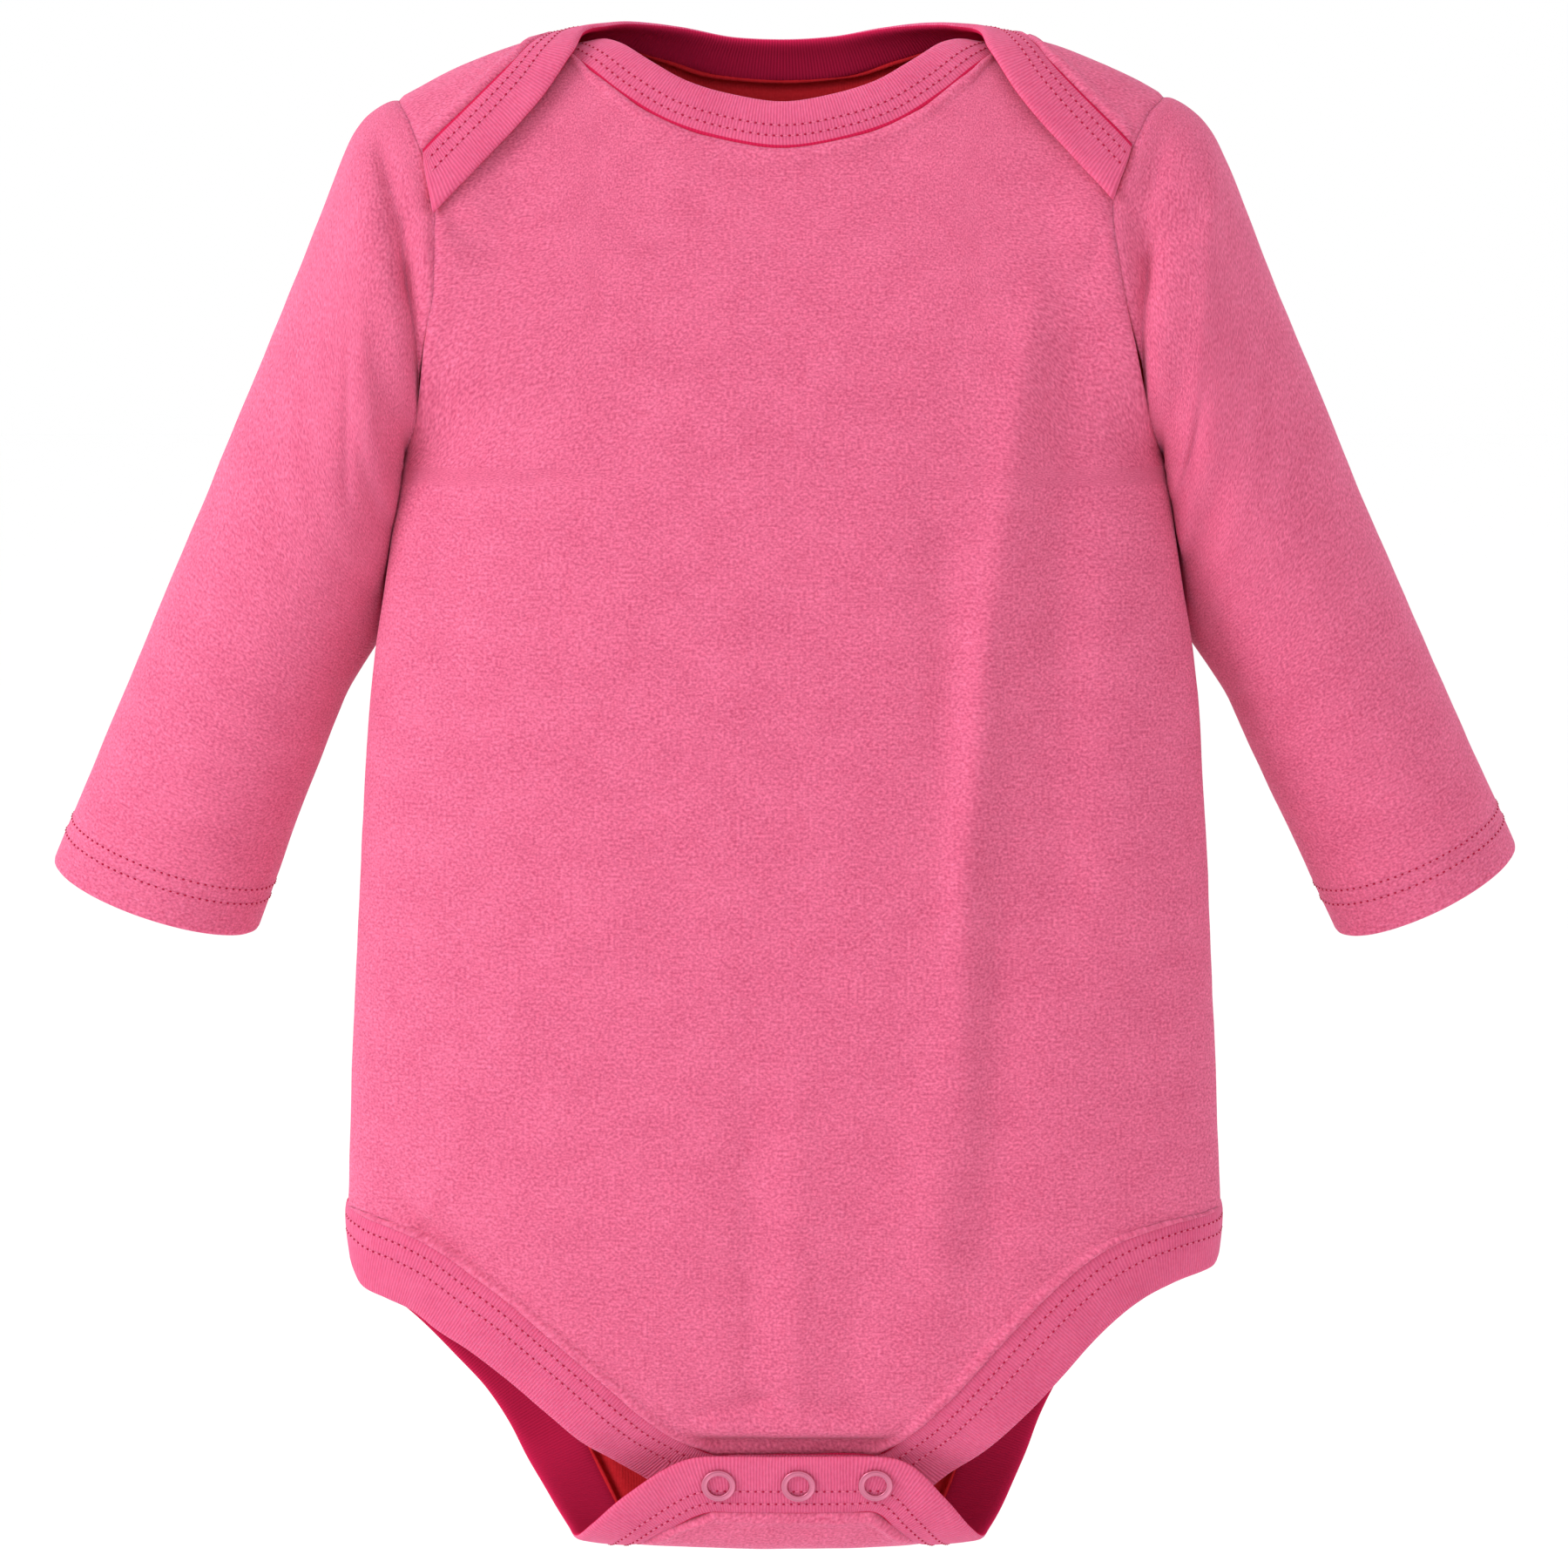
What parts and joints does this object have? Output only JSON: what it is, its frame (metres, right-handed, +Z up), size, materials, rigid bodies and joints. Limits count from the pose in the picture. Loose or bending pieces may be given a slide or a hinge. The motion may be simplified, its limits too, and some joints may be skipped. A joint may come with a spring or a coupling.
{
  "type": "baby bodysuit",
  "caption": "Long-sleeved baby bodysuit in plain pink jersey with an envelope neck, rib-bound neck and leg openings and a snapped crotch, filled out and empty.",
  "frame": {"origin": "middle of the neck, level with the top of the shoulders, where the wearer's shoulders carry the garment", "axes": "+Z up, -Y out of the garment's front, +X to the wearer's left"},
  "size_m": [0.4094, 0.0915, 0.4221],
  "materials": {
    "pink_jersey": "matte cotton single jersey with a faint heather",
    "pink_rib": "matte cotton rib, a little deeper than the jersey",
    "nickel": "satin nickel"
  },
  "bodies": {
    "root": {"front_panel": "pink_jersey", "back_panel": "pink_jersey", "sleeve_right": "pink_jersey", "sleeve_left": "pink_jersey", "neck_binding_front": "pink_rib", "neck_binding_back": "pink_rib", "hem_binding_front": "pink_rib", "hem_binding_back": "pink_rib", "snap_ring_right": "nickel", "snap_ring_middle": "nickel", "snap_ring_left": "nickel", "snap_socket_right": "nickel", "snap_socket_middle": "nickel", "snap_socket_left": "nickel", "snap_stud_right": "nickel", "snap_stud_middle": "nickel", "snap_stud_left": "nickel", "snap_back_ring_right": "nickel", "snap_back_ring_middle": "nickel", "snap_back_ring_left": "nickel"}
  },
  "joints": []
}
